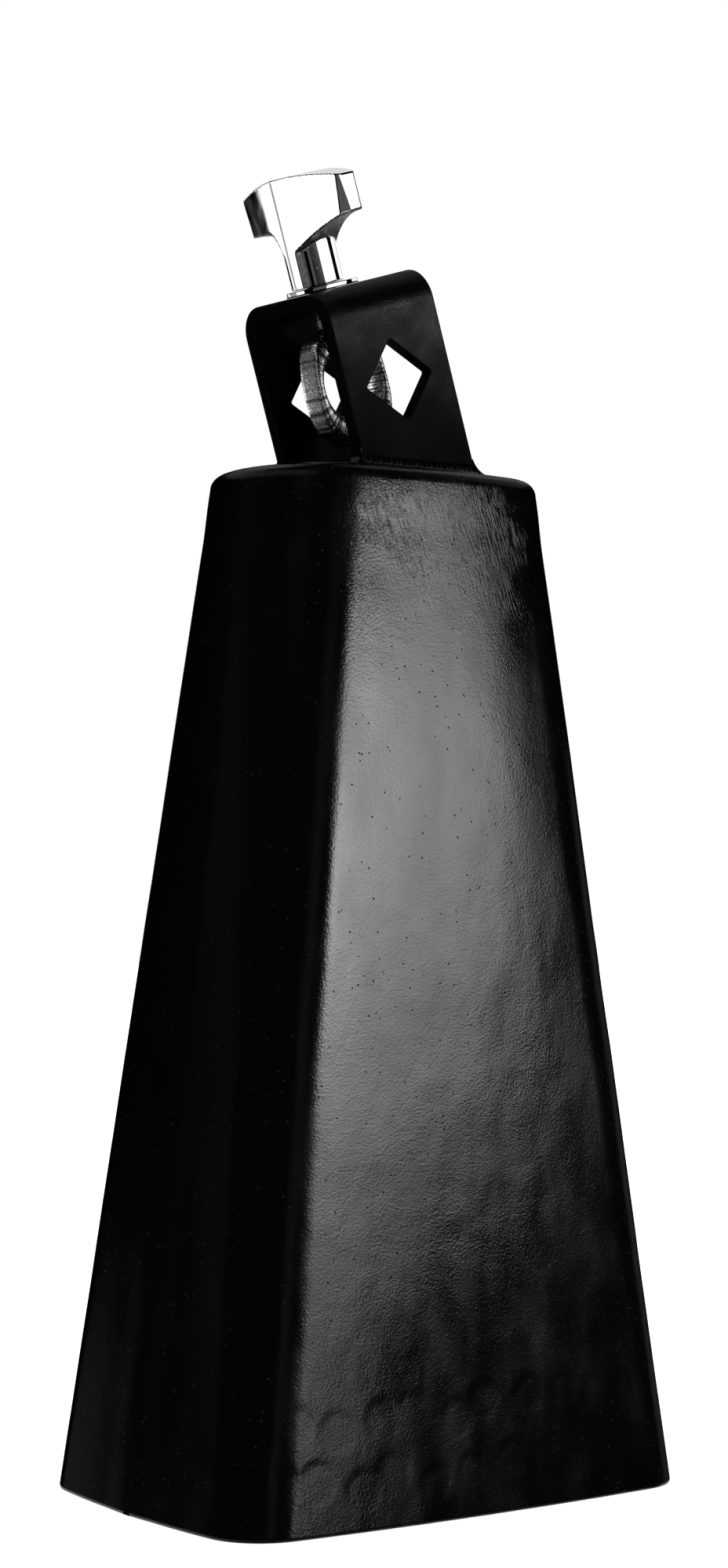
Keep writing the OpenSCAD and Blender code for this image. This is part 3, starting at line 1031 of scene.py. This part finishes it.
def ridge_rib():
    """The wedge that carries the front ridge down to the washer."""
    steps = 10
    plan = []
    for k in range(-steps, steps + 1):
        u = STEM_HALF_L * k / steps
        plan.append((-diamond_reach(RIDGE_REACH, u), u))
    plan += [(0, STEM_HALF_L), (0, -STEM_HALF_L)]
    heights = (NUT_LOW, ARCH_LOW, WING_TIP_LOW)
    return lofted("ridge_rib", [[(x, y, z) for x, y in plan] for z in heights])


def upright_cylinder(name, r, low, high):
    """A cylinder round the bolt's axis between two heights."""
    circle = [(r * math.cos(a), r * math.sin(a)) for a in full_turn(96)]
    return lofted(name, [[(x, y, z) for x, y in circle] for z in (low, high)])


def wing_nut(name):
    """Wings, rib and boss are one casting with a blind bore, left rough in its hollows. The hollows under
    the wings and the nook beside the rib also take the dark as-cast finish as painted shade.
    """
    hollow_low = NUT_LOW + 1 * MM
    hollow_high = WING_TIP_LOW + 0.6 * MM
    nook_front = -0.4 * BOSS_R
    boss = upright_cylinder("boss", BOSS_R, NUT_LOW, WING_TIP_LOW)
    body = fused(name, [wing_body(), ridge_rib(), boss], 0.22 * MM, 6)
    combine(body, upright_cylinder("bore", NUT_BORE_R, NUT_LOW - 1 * MM, NUT_BORE_TOP), "DIFFERENCE")
    # downward faces under the wings and the nook beside the rib take the dark second finish: rough casting
    # that also carries painted shade
    for face in body.data.polygons:
        hollow = hollow_low < face.center.z < hollow_high and face.normal.z < -0.3
        beside_rib = face.center.x < nook_front and abs(face.normal.y) > 0.7
        nook = face.center.z < WING_TIP_LOW and beside_rib
        face.material_index = 1 if hollow or nook else 0
    body.data.transform(BOLT_FRAME)
    clean_mesh(body.data, 55)
    return body


# ---- Camera, light and floor ----
# Angles are in degrees, and the lens is in millimetres.
CAMERA_TURN = 35.75
CAMERA_TILT = 1.35
CAMERA_ROLL = 0.4
CAMERA_DISTANCE = 632.3 * MM
CAMERA_HEIGHT = 126.1 * MM
CAMERA_ASIDE = 1.6 * MM
CAMERA_LENS = 71.5
LIGHT_DISTANCE = 1.2
LIGHT_CENTRE = Vector((0, 0, 0.12))
# power of each square metre of a light of brightness 1
LIGHT_WATTS = 4
CARD_DISTANCE = 27 * MM
SOFT_FILL = 0.1


def make_camera():
    """The photograph's viewing angle: from the front left, at half the object's height."""
    turn = math.radians(CAMERA_TURN)
    ahead = Vector((math.sin(turn), math.cos(turn), 0))
    right = Vector((math.cos(turn), -math.sin(turn), 0))
    place = Vector((0, 0, CAMERA_HEIGHT)) - CAMERA_DISTANCE * ahead - CAMERA_ASIDE * right
    level = Matrix((right, Vector((0, 0, 1)), -ahead)).transposed().to_4x4()
    tilt = Matrix.Rotation(math.radians(CAMERA_TILT), 4, "X")
    roll = Matrix.Rotation(math.radians(CAMERA_ROLL), 4, "Z")
    data = bpy.data.cameras.new("camera")
    data.lens = CAMERA_LENS
    data.sensor_width = 36
    camera = link(bpy.data.objects.new("camera", data))
    camera.matrix_world = Matrix.Translation(place) @ level @ tilt @ roll
    bpy.context.scene.camera = camera


def make_world():
    """White where the camera looks past the object, dim for soft fill, and black in reflections."""
    world = bpy.data.worlds.new("studio")
    world.use_nodes = True
    bpy.context.scene.world = world
    nodes = world.node_tree.nodes
    links = world.node_tree.links
    background = nodes["Background"]
    background.inputs["Color"].default_value = (1, 1, 1, 1)
    rays = nodes.new("ShaderNodeLightPath")
    fill = nodes.new("ShaderNodeMath")
    fill.operation = "MULTIPLY_ADD"
    fill.inputs[1].default_value = SOFT_FILL
    links.new(rays.outputs["Is Diffuse Ray"], fill.inputs[0])
    links.new(rays.outputs["Is Camera Ray"], fill.inputs[2])
    links.new(fill.outputs["Value"], background.inputs["Strength"])


def receivers(name, objects):
    """A collection of the objects that a light is kept to."""
    group = bpy.data.collections.new(name)
    for obj in objects:
        group.objects.link(obj)
    return group


def softbox(name, azimuth, elevation, width, height, brightness, lit, shape="RECTANGLE", near=None):
    """An area light that the bell's middle sees at an azimuth and elevation. Its width and height are
    degrees too. If near is given, it is a small card at CARD_DISTANCE from that point instead."""
    turn = math.radians(azimuth)
    lift = math.radians(elevation)
    way = Vector((math.sin(turn) * math.cos(lift), -math.cos(turn) * math.cos(lift), math.sin(lift)))
    centre = near or LIGHT_CENTRE
    distance = CARD_DISTANCE if near else LIGHT_DISTANCE
    data = bpy.data.lights.new(name, "AREA")
    data.shape = shape
    data.size = 2 * distance * math.tan(math.radians(width / 2))
    data.size_y = 2 * distance * math.tan(math.radians(height / 2))
    area_share = math.pi / 4 if shape == "ELLIPSE" else 1
    data.energy = LIGHT_WATTS * brightness * data.size * data.size_y * area_share
    lamp = link(bpy.data.objects.new(name, data))
    lamp.location = centre + way * distance
    lamp.rotation_mode = "QUATERNION"
    lamp.rotation_quaternion = way.to_track_quat("Z", "Y")
    lamp.visible_camera = False
    lamp.light_linking.receiver_collection = lit


def make_floor():
    """A plain pale disc that the bell stands on."""
    radius = 3
    below = 0.05 * MM
    points = [(radius * math.cos(a), radius * math.sin(a), -below) for a in full_turn(96)]
    floor = make_object("floor", points, [tuple(range(len(points)))])
    pale = Finish("floor_paper", 0, 0.9, 0)
    pale.colour(0.88, 0.92, pale.noise(60 * MM, 2))
    pale.bump(pale.noise(1.5 * MM, 2), 0.02 * MM)
    floor.data.materials.append(pale.material)
    floor.visible_glossy = False
    floor.visible_shadow = False
    return floor


def light_floor(floor):
    """A wide soft sun that only the floor takes, so that it stays white under the object."""
    data = bpy.data.lights.new("floor_sun", "SUN")
    data.energy = 6
    data.angle = math.radians(120)
    lamp = link(bpy.data.objects.new("floor_sun", data))
    lamp.light_linking.receiver_collection = receivers("floor_only", [floor])


# ---- Assembly ----
make_camera()
make_world()
floor = make_floor()
light_floor(floor)

shell_finish = shell_paint()
weld_finish = weld_paint()
strap_finish = strap_paint()
inside_finish = inside_paint()
bright_finish = bright_chrome()
rough_cast_and_painted_shade_finish = as_cast()
cast_finish = cast_chrome()

# piece, CAD node that it stands for, body, material slot, finishes
pieces = [
    (shell("front_shell_sheet", -1, 3), "front_shell", "bell", "shell_paint", [shell_finish]),
    (shell("back_shell_sheet", 1, 11), "back_shell", "bell", "shell_paint", [shell_finish]),
    (side_seam("left_seam_bead", -1, 21), "left_seam_weld", "bell", "weld_paint", [weld_finish]),
    (side_seam("right_seam_bead", 1, 25), "right_seam_weld", "bell", "weld_paint", [weld_finish]),
    (top_seam("top_seam_bead", 29), "top_seam_weld", "bell", "weld_paint", [weld_finish]),
    (bracket("bracket_strap"), "bracket", "bell", "strap_paint", [strap_finish, inside_finish]),
    (foot_weld("front_foot_bead", -1, 33), "front_bracket_weld", "bell", "weld_paint", [weld_finish]),
    (foot_weld("rear_foot_bead", 1, 37), "rear_bracket_weld", "bell", "weld_paint", [weld_finish]),
    (eye_bolt("cast_eye_bolt"), "eye_bolt", "eye_bolt", "cast_chrome", [cast_finish]),
    (washer("plated_washer"), "washer", "washer", "bright_chrome", [bright_finish]),
    (wing_nut("cast_wing_nut"), "wing_nut", "wing_nut", "bright_chrome", [bright_finish, rough_cast_and_painted_shade_finish]),
]
for piece, node, body, slot, finishes in pieces:
    for finish in finishes:
        piece.data.materials.append(finish)
    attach(piece, body)
    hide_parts(node)

painted = receivers("painted", [row[0] for row in pieces if row[3] in ("shell_paint", "weld_paint")])
strapped = receivers("strapped", [row[0] for row in pieces if row[3] == "strap_paint"])
chromed = receivers("chromed", [row[0] for row in pieces if row[3] == "bright_chrome"])
cast = receivers("cast", [row[0] for row in pieces if row[3] == "cast_chrome"])
all_black = receivers("all_black", [row[0] for row in pieces if row[3].endswith("paint")])

# name, azimuth, elevation, width, height, brightness, what it lights
softbox("key", 28.5, 8.5, 37, 20, 2.4, painted, "ELLIPSE")
softbox("key_top_left", 13, 13, 12, 8, 2.4, painted, "ELLIPSE")
softbox("key_high", 28, 11, 40, 8, 1.5, painted, "ELLIPSE")
softbox("key_middle", 26, 6.5, 30, 6, 1.5, painted, "ELLIPSE")
softbox("key_left", 17.5, 10.5, 15, 13, 2, painted)
softbox("key_foot", 21.5, -4, 8, 14, 1.6, painted, "ELLIPSE")
softbox("strap_key", 40, 9, 4, 20, 22, strapped)
softbox("front_strip", -17, 6, 13, 30, 0.06, painted)
softbox("left_strip", -130, 6, 3, 26, 0.07, painted)
softbox("left_low", -159, -12, 16, 12, 0.05, painted, "ELLIPSE")
softbox("right_edge", 100, -3, 22, 20, 0.05, painted)
softbox("low_front_left", -45, -27, 40, 20, 0.2, painted)
softbox("low_left", -100, -27, 60, 20, 0.3, painted)
softbox("low_back", 180, -27, 90, 20, 0.35, painted)
softbox("low_right", 105, -27, 50, 20, 0.3, painted)
softbox("under_front", 36, -51, 70, 24, 0.3, painted)
softbox("under_left", -120, -49, 80, 24, 0.3, painted)
softbox("under_back", 170, -51, 60, 24, 0.3, painted)
softbox("high_left", -95, 42, 60, 24, 0.15, painted)
softbox("high_back", 170, 42, 90, 24, 0.15, all_black)
softbox("high_right", 95, 42, 50, 24, 0.12, painted)
softbox("overhead", 144, 66, 60, 30, 0.25, all_black)
softbox("chrome_key", 12, 5, 68, 60, 1.15, chromed)
softbox("chrome_right", 90, 5, 30, 60, 1.1, chromed)
softbox("chrome_left", -110, -8, 30, 50, 1.15, chromed)
softbox("chrome_far_left", -165, -4, 12, 40, 1.1, chromed)
softbox("chrome_back_left", -142, -4, 34, 40, 0.3, chromed)
softbox("chrome_far_back", 172, 0, 24, 40, 0.09, chromed)
softbox("chrome_back_right", 132, 0, 52, 40, 0.5, chromed)
softbox("chrome_front_left", -45, 0, 38, 50, 0.07, chromed)
softbox("chrome_low", 10, -50, 90, 40, 0.5, chromed)
softbox("chrome_under", 125, -42, 70, 50, 0.4, chromed)
softbox("chrome_top", 144, 30, 70, 56, 0.6, chromed)
softbox("chrome_high", 144, 66, 70, 34, 0.7, chromed)
softbox("cast_right", 36, 5, 50, 50, 1, cast)
softbox("cast_front", -40, 0, 50, 50, 0.22, cast)
softbox("cast_band", -135, 0, 50, 44, 0.08, cast)
softbox("eye_card", -155, 0, 24, 40, 2.2, cast, near=EYE_MIDDLE)
softbox("cast_back", 180, 0, 24, 60, 1.2, cast)
softbox("cast_high", -100, 50, 70, 36, 1, cast)
softbox("cast_low", -100, -50, 70, 36, 1, cast)

bpy.context.scene.view_settings.view_transform = "Standard"
